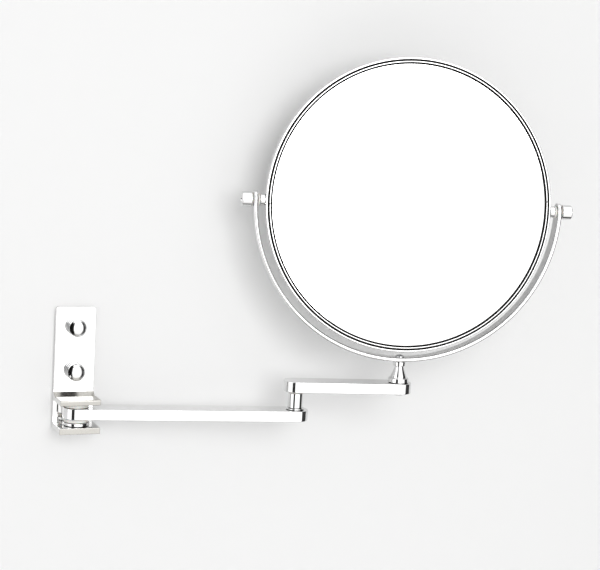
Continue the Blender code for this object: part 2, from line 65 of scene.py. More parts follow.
def socket(tree, name, kind, output=False, value=None):
    """A named socket on a node group, with its starting value."""
    made = tree.interface.new_socket(name, in_out="OUTPUT" if output else "INPUT", socket_type=kind)
    if value is not None:
        made.default_value = value
    return made


def node(tree, kind, links=None, values=None, **settings):
    """A node with its settings, its own socket values, and links from other nodes' sockets."""
    made = tree.nodes.new(kind)
    for name, setting in settings.items():
        setattr(made, name, setting)
    for key, value in (values or {}).items():
        made.inputs[key].default_value = value
    for key, source in (links or {}).items():
        tree.links.new(source, made.inputs[key])
    return made


def maths(tree, operation, first, second=None, clamp=False):
    """One sum on two numbers or sockets."""
    made = node(tree, "ShaderNodeMath", operation=operation, use_clamp=clamp)
    for slot, value in ((0, first), (1, second)):
        if isinstance(value, bpy.types.NodeSocket):
            tree.links.new(value, made.inputs[slot])
        elif value is not None:
            made.inputs[slot].default_value = value
    return made.outputs[0]


def ramp(tree, source, low, high, to_low=0.0, to_high=1.0):
    """A soft step from to_low to to_high as the source goes from low to high."""
    made = node(tree, "ShaderNodeMapRange", {"Value": source},
                {"From Min": low, "From Max": high, "To Min": to_low, "To Max": to_high},
                interpolation_type="SMOOTHSTEP")
    return made.outputs["Result"]


# Marks of use, shared by every finish: finger smears, hairline scratches and a fine skin.
handling = bpy.data.node_groups.new("handling marks", "ShaderNodeTree")
socket(handling, "Smear Scale", "NodeSocketFloat", value=45.0)
socket(handling, "Smear", "NodeSocketFloat", value=0.04)
socket(handling, "Scratches", "NodeSocketFloat", value=0.1)
socket(handling, "Skin Scale", "NodeSocketFloat", value=900.0)
socket(handling, "Skin", "NodeSocketFloat", value=0.2)
socket(handling, "Dulling", "NodeSocketFloat", output=True)
socket(handling, "Smear Mask", "NodeSocketFloat", output=True)
socket(handling, "Height", "NodeSocketFloat", output=True)
given = node(handling, "NodeGroupInput").outputs
place = node(handling, "ShaderNodeTexCoord").outputs["Object"]
smear_noise = node(handling, "ShaderNodeTexNoise", {"Vector": place, "Scale": given["Smear Scale"]},
                   {"Detail": 4.0, "Roughness": 0.55, "Distortion": 0.6})
smear_mask = ramp(handling, smear_noise.outputs["Fac"], 0.45, 0.72)
scratch_masks = []
for turn, stretch in (((0.3, 0.9, 0.5), (1500, 1500, 18)), ((1.2, -0.4, 2.1), (1900, 1900, 25))):
    laid = node(handling, "ShaderNodeMapping", {"Vector": place}, {"Rotation": turn, "Scale": stretch})
    streak = node(handling, "ShaderNodeTexNoise", {"Vector": laid.outputs[0]},
                  {"Scale": 1.0, "Detail": 1.0})
    scratch_masks.append(ramp(handling, streak.outputs["Fac"], 0.70, 0.74))
scratched = maths(handling, "MAXIMUM", *scratch_masks)
scratched = maths(handling, "MULTIPLY", scratched, given["Scratches"])
skin_noise = node(handling, "ShaderNodeTexNoise", {"Vector": place, "Scale": given["Skin Scale"]},
                  {"Detail": 2.0})
skin = maths(handling, "MULTIPLY", skin_noise.outputs["Fac"], given["Skin"])
dulling = maths(handling, "MULTIPLY", smear_mask, given["Smear"])
dulling = maths(handling, "ADD", dulling, maths(handling, "MULTIPLY", scratched, 0.25))
node(handling, "NodeGroupOutput",
     {"Dulling": dulling, "Smear Mask": smear_mask,
      "Height": maths(handling, "SUBTRACT", skin, scratched)})

# Wear on the outer edges, broken up so that it never runs as an even line.
edge_wear = bpy.data.node_groups.new("edge wear", "ShaderNodeTree")
socket(edge_wear, "Start", "NodeSocketFloat", value=0.53)
socket(edge_wear, "Amount", "NodeSocketFloat", value=0.6)
socket(edge_wear, "Patch Scale", "NodeSocketFloat", value=260.0)
socket(edge_wear, "Mask", "NodeSocketFloat", output=True)
given = node(edge_wear, "NodeGroupInput").outputs
place = node(edge_wear, "ShaderNodeTexCoord").outputs["Object"]
pointed = node(edge_wear, "ShaderNodeNewGeometry").outputs["Pointiness"]
raised = maths(edge_wear, "SUBTRACT", pointed, given["Start"])
raised = maths(edge_wear, "MULTIPLY", raised, 14.0, clamp=True)
patches = node(edge_wear, "ShaderNodeTexNoise", {"Vector": place, "Scale": given["Patch Scale"]},
               {"Detail": 3.0})
worn = maths(edge_wear, "MULTIPLY", raised, ramp(edge_wear, patches.outputs["Fac"], 0.4, 0.65))
node(edge_wear, "NodeGroupOutput", {"Mask": maths(edge_wear, "MULTIPLY", worn, given["Amount"])})


def metal(name, colour, worn_colour, roughness, smear=0.05, scratches=0.1, skin_height=0.2,
          skin_scale=900.0, wear=0.6, relief=0.00001, grain=None):
    """A metal finish; grain is the stretch of its drawing or turning lines along X, Y and Z."""
    material = bpy.data.materials.new(name)
    material.use_nodes = True
    tree = material.node_tree
    shader = tree.nodes["Principled BSDF"]
    shader.inputs["Metallic"].default_value = 1.0
    marks = node(tree, "ShaderNodeGroup", node_tree=handling,
                 values={"Smear": smear, "Scratches": scratches, "Skin": skin_height,
                         "Skin Scale": skin_scale})
    edges = node(tree, "ShaderNodeGroup", node_tree=edge_wear, values={"Amount": wear})
    smeared = node(tree, "ShaderNodeMix", {"Factor": marks.outputs["Smear Mask"]},
                   {"A": (*colour, 1), "B": (*[0.95 * part for part in colour], 1)}, data_type="RGBA")
    tinted = node(tree, "ShaderNodeMix", {"Factor": edges.outputs["Mask"],
                                          "A": smeared.outputs["Result"]},
                  {"B": (*worn_colour, 1)}, data_type="RGBA")
    tree.links.new(tinted.outputs["Result"], shader.inputs["Base Color"])
    gloss = maths(tree, "ADD", marks.outputs["Dulling"], roughness)
    gloss = maths(tree, "ADD", gloss, maths(tree, "MULTIPLY", edges.outputs["Mask"], 0.12))
    tree.links.new(gloss, shader.inputs["Roughness"])
    height = marks.outputs["Height"]
    if grain:
        at = node(tree, "ShaderNodeTexCoord").outputs["Object"]
        stretched = node(tree, "ShaderNodeMapping", {"Vector": at}, {"Scale": grain})
        lines = node(tree, "ShaderNodeTexNoise", {"Vector": stretched.outputs[0]},
                     {"Scale": 1.0, "Detail": 2.0})
        height = maths(tree, "ADD", height, maths(tree, "MULTIPLY", lines.outputs["Fac"], 0.6))
    bump = node(tree, "ShaderNodeBump", {"Height": height}, {"Strength": 1.0, "Distance": relief})
    tree.links.new(bump.outputs["Normal"], shader.inputs["Normal"])
    return material


def shaped(name, shape, cuts=(), bevel=0.0, bevel_steps=3, angle=30):
    """Turn a bmesh into a plain object: cut it, break its edges, and keep flat faces flat."""
    bmesh.ops.recalc_face_normals(shape, faces=shape.faces)
    mesh = bpy.data.meshes.new(name)
    shape.to_mesh(mesh)
    shape.free()
    mesh.shade_smooth()
    raw = bpy.data.objects.new(name + "_raw", mesh)
    bpy.context.scene.collection.objects.link(raw)
    cutters = []
    for cut in cuts:
        cut_mesh = bpy.data.meshes.new("cutter")
        bmesh.ops.recalc_face_normals(cut, faces=cut.faces)
        cut.to_mesh(cut_mesh)
        cut.free()
        cutter = bpy.data.objects.new("cutter", cut_mesh)
        bpy.context.scene.collection.objects.link(cutter)
        cutters.append(cutter)
        hollow = raw.modifiers.new("cut", "BOOLEAN")
        hollow.operation = "DIFFERENCE"
        hollow.solver = "EXACT"
        hollow.object = cutter
    if bevel:
        broken = raw.modifiers.new("broken edges", "BEVEL")
        broken.width = bevel
        broken.segments = bevel_steps
        broken.limit_method = "ANGLE"
        broken.angle_limit = math.radians(angle)
        broken.use_clamp_overlap = True
    flat = raw.modifiers.new("flat faces", "WEIGHTED_NORMAL")
    flat.mode = "FACE_AREA"
    flat.weight = 100
    flat.keep_sharp = True
    return plain_object(name, raw, cutters)


def plain_object(name, raw, helpers=()):
    """The evaluated mesh of an object, as an object of its own with no modifiers."""
    bpy.context.view_layer.update()
    evaluated = raw.evaluated_get(bpy.context.evaluated_depsgraph_get())
    mesh = bpy.data.meshes.new_from_object(evaluated)
    mesh.name = name
    for unused in (raw, *helpers):
        bpy.data.objects.remove(unused, do_unlink=True)
    piece = bpy.data.objects.new(name, mesh)
    bpy.context.scene.collection.objects.link(piece)
    return piece


def fit(piece, material, body, slot, *nodes, at=None):
    """Put a finished piece in its place, give it its finish, and let it ride with its body."""
    if at is not None:
        piece.data.transform(at)
    if material is not None:
        piece.data.materials.clear()
        piece.data.materials.append(material)
    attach(piece, body)
    if nodes:
        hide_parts(*nodes)
    return piece


def rounded(corners, steps=5):
    """A closed outline of (x, y, corner radius) points, with each corner rounded off."""
    outline = []
    count = len(corners)
    for index, (x, y, radius) in enumerate(corners):
        here = Vector((x, y))
        before = Vector(corners[index - 1][:2]) - here
        after = Vector(corners[(index + 1) % count][:2]) - here
        if radius <= 0 or before.length < 1e-9 or after.length < 1e-9:
            outline.append((x, y))
            continue
        opening = before.angle(after)
        reach = min(radius / math.tan(opening / 2), 0.48 * before.length, 0.48 * after.length)
        true_radius = reach * math.tan(opening / 2)
        centre = here + (before.normalized() + after.normalized()).normalized() \
            * (true_radius / math.sin(opening / 2))
        start = here + before.normalized() * reach - centre
        end = here + after.normalized() * reach - centre
        sweep = start.angle_signed(end)
        for step in range(steps + 1):
            turned_by = -sweep * step / steps
            spoke = Vector((start.x * math.cos(turned_by) - start.y * math.sin(turned_by),
                            start.x * math.sin(turned_by) + start.y * math.cos(turned_by)))
            outline.append(tuple(centre + spoke))
    return outline


def turned(profile, segments=96):
    """Turn a closed outline of (radius, height) points about an upright axis."""
    shape = bmesh.new()
    rings = []
    for radius, height in profile:
        if radius < 1e-7:
            rings.append([shape.verts.new((0, 0, height))])
            continue
        rings.append([shape.verts.new((radius * math.cos(angle), radius * math.sin(angle), height))
                      for angle in (2 * math.pi * step / segments for step in range(segments))])
    for this_ring, next_ring in zip(rings, rings[1:] + rings[:1]):
        if len(this_ring) == 1 and len(next_ring) == 1:
            continue
        for step in range(segments):
            after = (step + 1) % segments
            corners = [this_ring[step % len(this_ring)], this_ring[after % len(this_ring)],
                       next_ring[after % len(next_ring)], next_ring[step % len(next_ring)]]
            shape.faces.new(list(dict.fromkeys(corners)))
    return shape


def rod(radius, low, high, segments=48, at=(0, 0, 0), outwards=False):
    """A plain round bar, upright or pointing out from the wall, for cutting holes."""
    shape = turned([(0, low), (radius, low), (radius, high), (0, high)], segments)
    if outwards:
        bmesh.ops.rotate(shape, verts=shape.verts, matrix=Matrix.Rotation(math.pi / 2, 3, "X"))
    bmesh.ops.translate(shape, verts=shape.verts, vec=at)
    return shape


bracket_outline = [
    (0, -13), (0, 71), (-3.2, 71), (-3.2, 12.3), (-8.9, 9.2), (-10.3, 10.4), (-24, 10.4),
    (-24.5, 9.9), (-24.1, 6.6), (-3.2, 6.6), (-3.2, -8.7), (-24.5, -8.7), (-24.1, -13)]
bracket_shape = bmesh.new()
bracket_side = bracket_shape.faces.new(
    [bracket_shape.verts.new((-BRACKET_HALF_WIDTH, y * MM, z * MM)) for y, z in bracket_outline])
pulled = bmesh.ops.extrude_face_region(bracket_shape, geom=[bracket_side])["geom"]
bmesh.ops.translate(bracket_shape, vec=(2 * BRACKET_HALF_WIDTH, 0, 0),
                    verts=[part for part in pulled if isinstance(part, bmesh.types.BMVert)])
top_corners = [edge for edge in bracket_shape.edges
               if all(abs(vert.co.z - PLATE_TOP) < 1e-6 for vert in edge.verts)
               and abs(edge.verts[0].co.x - edge.verts[1].co.x) < 1e-6]
bmesh.ops.bevel(bracket_shape, geom=top_corners, offset=PLATE_CORNER, segments=8, affect="EDGES",
                profile=0.5)
bracket_holes = [rod(SCREW_BORE, -5 * MM, 5 * MM, at=(0, 0, height), outwards=True)
                 for height in SCREW_HEIGHTS]
bracket_holes.append(rod(PIN_BORE, -20 * MM, PIN_BORE_TOP, at=hinge_place))
bracket = shaped("bracket", bracket_shape, bracket_holes, BRACKET_BREAK)
bracket_chrome = metal("drawn chrome", (0.74, 0.74, 0.735), (0.66, 0.65, 0.63), 0.07, smear=0.06,
                       relief=0.000006, grain=(25, 2400, 2400))
fit(bracket, bracket_chrome, "base", "chrome", "wall_bracket")
# The shoulder's top and the lugs' fronts, picked by which way they face, get a rougher satin finish
# whose darker, warmer colour is painted shade for what these faces reflect; the rest was buffed.
satin_painted_shade_chrome = metal("satin chrome with painted shade", (0.46, 0.45, 0.425), (0.43, 0.415, 0.39), 0.26, smear=0.08,
                     skin_height=0.5, relief=0.00001, grain=(60, 1500, 1500))
bracket.data.materials.append(satin_painted_shade_chrome)
for face in bracket.data.polygons:
    front = face.normal.y < -0.4 and face.center.y < LUG_FRONT
    top = face.normal.z > 0.3 and SHOULDER_LOW < face.center.z < SHOULDER_HIGH
    if front or top:
        face.material_index = 1

# ---------------------------------------------------------------------------------------------
# Screw covers. Two steel wall screws, each under a turned base whose chrome is darkened as painted
# shade, and a press-on domed cap in bright chrome; a fine groove is left between the two.
# ---------------------------------------------------------------------------------------------
COVER_RADIUS = 6.1
DOME_FOOT = 9.3
DOME_HEIGHT = 3.3
DOME_STEPS = 12

# One tree sets copies of a turned piece in a row or round an axis, and joins them in one mesh.
repeats = bpy.data.node_groups.new("set copies", "GeometryNodeTree")
repeats.is_modifier = True
socket(repeats, "Geometry", "NodeSocketGeometry")
socket(repeats, "Count", "NodeSocketInt", value=2)
socket(repeats, "First Place", "NodeSocketVector")
socket(repeats, "Step", "NodeSocketVector")
socket(repeats, "First Turn", "NodeSocketVector")
socket(repeats, "Turn Step", "NodeSocketVector")
socket(repeats, "Finish", "NodeSocketMaterial")
socket(repeats, "Geometry", "NodeSocketGeometry", output=True)
given = node(repeats, "NodeGroupInput").outputs
number = node(repeats, "GeometryNodeInputIndex").outputs[0]
moved = node(repeats, "ShaderNodeVectorMath", {0: given["Step"], 1: number, 2: given["First Place"]},
             operation="MULTIPLY_ADD")
spun = node(repeats, "ShaderNodeVectorMath",
            {0: given["Turn Step"], 1: number, 2: given["First Turn"]}, operation="MULTIPLY_ADD")
spots = node(repeats, "GeometryNodePoints", {"Count": given["Count"], "Position": moved.outputs[0]})
copies = node(repeats, "GeometryNodeInstanceOnPoints",
              {"Points": spots.outputs[0], "Instance": given["Geometry"],
               "Rotation": spun.outputs[0]})
joined = node(repeats, "GeometryNodeRealizeInstances", {"Geometry": copies.outputs[0]})
finished = node(repeats, "GeometryNodeSetMaterial",
                {"Geometry": joined.outputs[0], "Material": given["Finish"]})
node(repeats, "NodeGroupOutput", {"Geometry": finished.outputs[0]})


def grown(name, raw, tree, values):
    """Run a geometry tree on an object with these named inputs, and keep the plain mesh."""
    modifier = raw.modifiers.new(name, "NODES")
    modifier.node_group = tree
    for item in tree.interface.items_tree:
        if item.in_out == "INPUT" and item.name in values:
            modifier[item.identifier] = values[item.name]
    return plain_object(name, raw)


facing_out = (math.pi / 2, 0, 0)
two_covers = {"Count": 2, "First Place": (0, 0, SCREW_HEIGHTS[0]), "First Turn": facing_out,
              "Step": (0, 0, SCREW_HEIGHTS[1] - SCREW_HEIGHTS[0])}
turned_chrome = metal("turned chrome", (0.74, 0.74, 0.74), (0.66, 0.655, 0.64), 0.045, smear=0.05,
                      relief=0.000004)
cap_chrome = metal("cap chrome", (0.74, 0.74, 0.74), (0.66, 0.655, 0.64), 0.14, smear=0.05,
                   relief=0.000004)
# The bases' chrome colour is darkened: painted shade, so that what they reflect comes out dark.
dark_painted_shade_chrome = metal("dark chrome, painted shade", (0.16, 0.16, 0.165), (0.3, 0.3, 0.3), 0.1, smear=0.05,
                     relief=0.000004)
polished_steel = metal("polished steel", (0.58, 0.58, 0.59), (0.7, 0.7, 0.7), 0.24, smear=0.1,
                       relief=0.00002, grain=(900, 900, 40))
cover_base = [(2.6, 3.5, 0.1), (COVER_RADIUS, 3.5, 0.2), (COVER_RADIUS, 7.2, 0.5), (2.6, 7.2, 0.1)]
cover_cap = [(4.6, 7.5, 0.1), (5.3, 7.5, 0.1), (5.3, 8.1, 0.05), (COVER_RADIUS, 8.1, 0.25),
             (COVER_RADIUS, DOME_FOOT, 0.6)]
for step in range(1, DOME_STEPS):
    rise = math.pi / 2 * step / DOME_STEPS
    cover_cap.append((COVER_RADIUS * math.cos(rise), DOME_FOOT + DOME_HEIGHT * math.sin(rise), 0))
cover_cap += [(0, DOME_FOOT + DOME_HEIGHT, 0), (0, 9.9, 0), (4.6, 9.9, 0.3)]
for name, outline, skin, nodes in (
        ("cover_bases", cover_base, dark_painted_shade_chrome, ("cap_base_upper", "cap_base_lower")),
        ("cover_caps", cover_cap, cap_chrome, ("screw_cap_upper", "screw_cap_lower"))):
    profile = [(x * MM, y * MM) for x, y in rounded(outline)]
    blank = shaped(name + "_blank", turned(profile))
    pair = grown(name, blank, repeats, {**two_covers, "Finish": skin})
    fit(pair, None, "base", "chrome", *nodes)
for name in ("wall_screw_upper", "wall_screw_lower"):
    frame["nodes"][name].material_slots[0].material = polished_steel

# ---------------------------------------------------------------------------------------------
# Wall hinge. A steel pin pressed up through the lower lug into the upper. A nylon washer above the
# bar, and below it a second washer on a plated spacer ring, fill the channel.
# ---------------------------------------------------------------------------------------------
BAR_HALF_WIDTH = 9.3
BAR_HALF_HEIGHT = 3.75
WASHER_BORE = 3.3
WASHER_RADIUS = 8.3


def coated(name, tint, smeared_tint, roughness, marks, bump=None, **inputs):
    """A plain finish: two tints by smear, a fine skin, and the shader's own inputs by name."""
    material = bpy.data.materials.new(name)
    material.use_nodes = True
    tree = material.node_tree
    shader = tree.nodes["Principled BSDF"]
    for key, value in inputs.items():
        shader.inputs[key.replace("_", " ")].default_value = value
    used = node(tree, "ShaderNodeGroup", node_tree=handling, values=marks)
    tinted = node(tree, "ShaderNodeMix", {"Factor": used.outputs["Smear Mask"]},
                  {"A": (*tint, 1), "B": (*smeared_tint, 1)}, data_type="RGBA")
    tree.links.new(tinted.outputs["Result"], shader.inputs["Base Color"])
    gloss = maths(tree, "ADD", used.outputs["Dulling"], roughness)
    tree.links.new(gloss, shader.inputs["Roughness"])
    if bump:
        relief = node(tree, "ShaderNodeBump", {"Height": used.outputs["Height"]},
                      {"Strength": bump, "Distance": 0.00003})
        tree.links.new(relief.outputs["Normal"], shader.inputs["Normal"])
    return material


nylon = coated("natural nylon", (0.82, 0.81, 0.77), (0.74, 0.73, 0.68), 0.42,
               {"Smear": 0.15, "Scratches": 0.2, "Skin": 0.6, "Skin Scale": 1500.0}, bump=0.6,
               Subsurface_Weight=0.15, Subsurface_Scale=0.001)


def ring(inner, outer, low, high, corner=0.25):
    """The outline of a flat ring with softened corners, in millimetres."""
    return [(inner, low, corner / 2), (outer, low, corner), (outer, high, corner),
            (inner, high, corner / 2)]


def lathe(name, outline, cuts=(), segments=96):
    """A turned piece from an outline of (radius, height, corner radius) in millimetres."""
    profile = [(x * MM, y * MM) for x, y in rounded(outline)]
    return shaped(name, turned(profile, segments), cuts)


at_hinge = Matrix.Translation(hinge_place)
pin = lathe("wall_pin", [(0, -12.7, 0), (3, -12.7, 0.4), (3, 8.9, 0.4), (0, 8.9, 0)])
fit(pin, polished_steel, "base", "steel", "wall_pivot_pin", at=at_hinge)
fit(lathe("washer_above", ring(WASHER_BORE, WASHER_RADIUS, 4.05, 6.3)), nylon, "base", "nylon",
    "wall_washer_upper", at=at_hinge)
fit(lathe("washer_below", ring(WASHER_BORE, WASHER_RADIUS, -6.15, -4.05)), nylon, "base", "nylon",
    "wall_washer_lower", at=at_hinge)
fit(lathe("spacer", ring(WASHER_BORE, 9, -8.4, -6.45, 0.35)), turned_chrome, "base", "chrome",
    "wall_spacer_ring", at=at_hinge)

# ---------------------------------------------------------------------------------------------
# Long bar. Flat brass bar with full-round ends, milled, drilled, polished and plated. A nylon
# bush runs on the wall pin; a socket-head bolt comes up through the far end into the short bar.
# ---------------------------------------------------------------------------------------------
LONG_BAR = 152
BAR_EDGE = 0.55
ELBOW_SPACE = 13.2
BOLT_BORE = 2.8
RUN_GAP = 0.3
bar_chrome = metal("bar chrome", (0.74, 0.74, 0.74), (0.66, 0.655, 0.64), 0.05, smear=0.06,
                   relief=0.000005, grain=(60, 60, 1800))


def body_place(joint, turn):
    """Where a body's own pivot lies, turned about the upright axis."""
    return Matrix.Translation(joint) @ Matrix.Rotation(turn, 4, "Z")


def bar(length, low, high):
    """A flat bar with full-round ends and rounded edges, lying along X from the first centre."""
    shape = bmesh.new()
    corner = [(BAR_EDGE * (1 - math.sin(math.pi / 2 * step / 4)),
               BAR_EDGE * (1 - math.cos(math.pi / 2 * step / 4))) for step in range(5)]
    levels = [(inset, low + rise) for inset, rise in corner]
    levels += [(inset, high - rise) for inset, rise in reversed(corner)]
    rings = []
    for inset, height in levels:
        radius = BAR_HALF_WIDTH - inset
        points = [(centre + radius * math.cos(angle), radius * math.sin(angle))
                  for centre, start in ((0, math.pi / 2), (length, -math.pi / 2))
                  for angle in (start + math.pi * step / 48 for step in range(49))]
        rings.append([shape.verts.new((x * MM, y * MM, height * MM)) for x, y in points])
    for this_ring, next_ring in zip(rings, rings[1:]):
        for step, first in enumerate(this_ring):
            after = (step + 1) % len(this_ring)
            shape.faces.new([first, this_ring[after], next_ring[after], next_ring[step]])
    shape.faces.new(list(reversed(rings[0])))
    shape.faces.new(rings[-1])
    return shape


def along(start, end):
    """The turn about the upright axis that points from one joint to the next."""
    return math.atan2(end[1] - start[1], end[0] - start[0])


elbow_place = Vector(joints["elbow_hinge"]["pos_m"])
swivel_place = Vector(joints["yoke_swivel"]["pos_m"])
long_bar_place = body_place(hinge_place, along(hinge_place, elbow_place))
elbow_on_bar = (LONG_BAR * MM, 0, 0)
long_bar = shaped("long_bar", bar(LONG_BAR, -BAR_HALF_HEIGHT, BAR_HALF_HEIGHT), [
    rod(4.8 * MM, -9 * MM, 9 * MM),
    rod(4.9 * MM, -9 * MM, -0.95 * MM, at=elbow_on_bar),
    rod(BOLT_BORE * MM, -9 * MM, 9 * MM, at=elbow_on_bar)])
fit(long_bar, bar_chrome, "arm_lower", "chrome", "lower_arm", at=long_bar_place)
bush = lathe("bar_bush", ring(WASHER_BORE, 4.5, -BAR_HALF_HEIGHT, BAR_HALF_HEIGHT, 0.2))
fit(bush, nylon, "arm_lower", "nylon", "lower_arm_bush", at=long_bar_place)
elbow_turned = long_bar_place @ Matrix.Translation(elbow_on_bar)
fit(lathe("elbow_foot", ring(BOLT_BORE, 6.5, 4.05, 4.85, 0.25)), turned_chrome, "arm_lower", "chrome",
    "elbow_foot_ring", at=elbow_turned)
pillar = lathe("elbow_pillar", [(BOLT_BORE, 5.15, 0.1), (5.3, 5.15, 0.3), (5.3, 15.55, 0.3),
                                (BOLT_BORE, 15.55, 0.1)])
fit(pillar, turned_chrome, "arm_lower", "chrome", "elbow_post", at=elbow_turned)
hex_key = rod(1.75 * MM, -6 * MM, -2.4 * MM, 6)
bolt = lathe("elbow_bolt_turned", [(0, -3.55, 0), (4.6, -3.55, 0.5), (4.6, -1.25, 0.15),
                                   (2.5, -1.25, 0.2), (2.5, 22.8, 0.4), (0, 22.8, 0)], [hex_key])
fit(bolt, polished_steel, "arm_lower", "steel", "elbow_bolt", at=elbow_turned)

# ---------------------------------------------------------------------------------------------
# Short bar. The same bar stock, blind-bored at the elbow, where it runs on a thin nylon washer,
# and bored through at the other end for the fork's stem.
# ---------------------------------------------------------------------------------------------
SHORT_BAR = 73.5
STEM_BORE = 2.6
short_low = BAR_HALF_HEIGHT + ELBOW_SPACE
short_high = short_low + 2 * BAR_HALF_HEIGHT
short_bar_place = body_place(elbow_place, along(elbow_place, swivel_place))
swivel_on_bar = (SHORT_BAR * MM, 0, 0)
short_bar = shaped("short_bar", bar(SHORT_BAR, short_low, short_high), [
    rod(BOLT_BORE * MM, (short_low - 5) * MM, (short_high - 1.3) * MM),
    rod(STEM_BORE * MM, (short_low - 5) * MM, (short_high + 5) * MM, at=swivel_on_bar)])
fit(short_bar, bar_chrome, "arm_upper", "chrome", "upper_arm", at=short_bar_place)
fit(lathe("elbow_slip_washer", ring(BOLT_BORE, 5.7, 15.85, 16.65, 0.2)), nylon, "arm_upper", "nylon",
    "elbow_washer", at=short_bar_place)

# ---------------------------------------------------------------------------------------------
# Swivel bell. A turned brass bell that hides the spring washer and nylon disc under the fork:
# a plain flange, a fine step, then a hollow flare up to the neck.
# ---------------------------------------------------------------------------------------------
BELL_RADIUS = 7.4
BELL_HEIGHT = 11.3
BELL_STEP = 3.4
BELL_NECK = 3.2
FLARE_STEPS = 12
bell_floor = short_high + RUN_GAP
bell_outline = [(5.4, bell_floor, 0.1), (BELL_RADIUS, bell_floor, 0.3), (7.2, bell_floor + 2.9, 0.6),
                (6.3, bell_floor + 3.2, 0.1)]
for step in range(1, FLARE_STEPS):
    rise = step / FLARE_STEPS
    flare = BELL_NECK + 2.9 * (1 - rise) ** 1.25
    bell_outline.append((flare, bell_floor + BELL_STEP + 7.9 * rise, 0))
bell_outline += [(BELL_NECK, bell_floor + BELL_HEIGHT, 0.15), (STEM_BORE, bell_floor + BELL_HEIGHT, 0.1),
                 (STEM_BORE, bell_floor + BELL_STEP, 0.1), (5.4, bell_floor + BELL_STEP, 0.1)]
swivel_turned = Matrix.Translation(swivel_place)
fit(lathe("bell", bell_outline), turned_chrome, "arm_upper", "chrome", "swivel_bell",
    at=swivel_turned)
spring_steel = metal("spring steel", (0.42, 0.41, 0.4), (0.55, 0.54, 0.52), 0.32, smear=0.12,
                     relief=0.00002)
frame["nodes"]["swivel_spring_washer"].material_slots[0].material = spring_steel
frame["nodes"]["swivel_nylon_washer"].material_slots[0].material = nylon

# ---------------------------------------------------------------------------------------------
# Stem. A turned pin that drops through bell and bar, held from below by a flat-headed screw;
# its plated collar widens slightly towards the fork that sits on it.
# ---------------------------------------------------------------------------------------------
MIRROR_HEIGHT = 149.9
YOKE_INNER = 108.1
YOKE_BOTTOM_INNER = 107.2
YOKE_THICK = 3
tilt_place = Vector(joints["mirror_tilt"]["pos_m"])
tilt_axis = Vector(joints["mirror_tilt"]["axis"]).normalized()
fork_place = Matrix.Translation(swivel_place) @ Matrix.Rotation(
    math.atan2(tilt_axis.y, tilt_axis.x), 4, "Z")
collar = bell_floor + BELL_HEIGHT + RUN_GAP
stem_top = MIRROR_HEIGHT - YOKE_BOTTOM_INNER - YOKE_THICK - RUN_GAP
stem_outline = [(0, short_low + 0.7, 0), (2.3, short_low + 0.7, 0.2), (2.3, collar, 0.05),
                (4.2, collar, 0.3), (4.6, stem_top, 0.3), (0, stem_top, 0)]
fit(lathe("stem", stem_outline), turned_chrome, "fork", "chrome", "swivel_stem", at=fork_place)
head_low = short_low - 1.5
slot_cut = bmesh.new()
bmesh.ops.create_cube(slot_cut, size=1)
bmesh.ops.scale(slot_cut, verts=slot_cut.verts, vec=(9 * MM, 0.8 * MM, 1.4 * MM))
bmesh.ops.translate(slot_cut, verts=slot_cut.verts, vec=(0, 0, head_low * MM))
fit(lathe("stem_screw", [(0, head_low, 0), (4, head_low, 0.5), (4, short_low - 0.3, 0.1),
                         (1.3, short_low - 0.3, 0), (1.3, short_low + 0.5, 0),
                         (0, short_low + 0.5, 0)], [slot_cut]),
    polished_steel, "fork", "steel", "swivel_screw", at=fork_place)

# ---------------------------------------------------------------------------------------------
# Yoke. Flat brass strip with rounded edges, bent to a half circle a little flattened at the
# bottom, with full-round ends at the pivots; plated and screwed to the stem from inside.
# ---------------------------------------------------------------------------------------------
YOKE_WIDTH = 11
YOKE_TIP_RISE = 6.2
YOKE_EDGE = 1.45
STUD_BORE = 2
yoke_tree = bpy.data.node_groups.new("bent strip", "GeometryNodeTree")
yoke_tree.is_modifier = True
socket(yoke_tree, "Geometry", "NodeSocketGeometry")
for name, value in (("Bend Radius", 0.1), ("Bend Depth", 0.1), ("Tip Rise", 0.006),
                    ("Thickness", 0.003), ("Width", 0.01), ("Edge Radius", 0.001)):
    socket(yoke_tree, name, "NodeSocketFloat", value=value)
socket(yoke_tree, "Stations", "NodeSocketInt", value=420)
socket(yoke_tree, "Finish", "NodeSocketMaterial")
socket(yoke_tree, "Geometry", "NodeSocketGeometry", output=True)
given = node(yoke_tree, "NodeGroupInput").outputs
line = node(yoke_tree, "GeometryNodeCurvePrimitiveLine")
stations = node(yoke_tree, "GeometryNodeResampleCurve",
                {"Curve": line.outputs[0], "Count": given["Stations"]}, mode="COUNT")
# Stations crowd towards the ends, so that the full-round tips come out smooth.
factor = node(yoke_tree, "GeometryNodeSplineParameter").outputs["Factor"]
centred = maths(yoke_tree, "MULTIPLY", maths(yoke_tree, "SUBTRACT", factor, 0.5), 2.0)
crowding = maths(yoke_tree, "SUBTRACT", 1.35, maths(
    yoke_tree, "MULTIPLY", maths(yoke_tree, "MULTIPLY", centred, centred), 0.35))
centred = maths(yoke_tree, "MULTIPLY", centred, crowding)
quarter = maths(yoke_tree, "MULTIPLY", given["Bend Radius"], math.pi / 2)
reach = maths(yoke_tree, "MULTIPLY", maths(yoke_tree, "ABSOLUTE", centred),
              maths(yoke_tree, "ADD", quarter, given["Tip Rise"]))
bend = maths(yoke_tree, "MINIMUM", maths(yoke_tree, "DIVIDE", reach, given["Bend Radius"]),
             math.pi / 2)
straight = maths(yoke_tree, "MAXIMUM", maths(yoke_tree, "SUBTRACT", reach, quarter), 0.0)
side = maths(yoke_tree, "SIGN", centred)
across = maths(yoke_tree, "MULTIPLY", maths(yoke_tree, "MULTIPLY", side, given["Bend Radius"]),
               maths(yoke_tree, "SINE", bend))
down = maths(yoke_tree, "MULTIPLY", given["Bend Depth"], maths(yoke_tree, "COSINE", bend))
path_point = node(yoke_tree, "ShaderNodeCombineXYZ",
                  {"X": across, "Y": maths(yoke_tree, "SUBTRACT", straight, down)})
path = node(yoke_tree, "GeometryNodeSetPosition",
            {"Geometry": stations.outputs[0], "Position": path_point.outputs[0]})
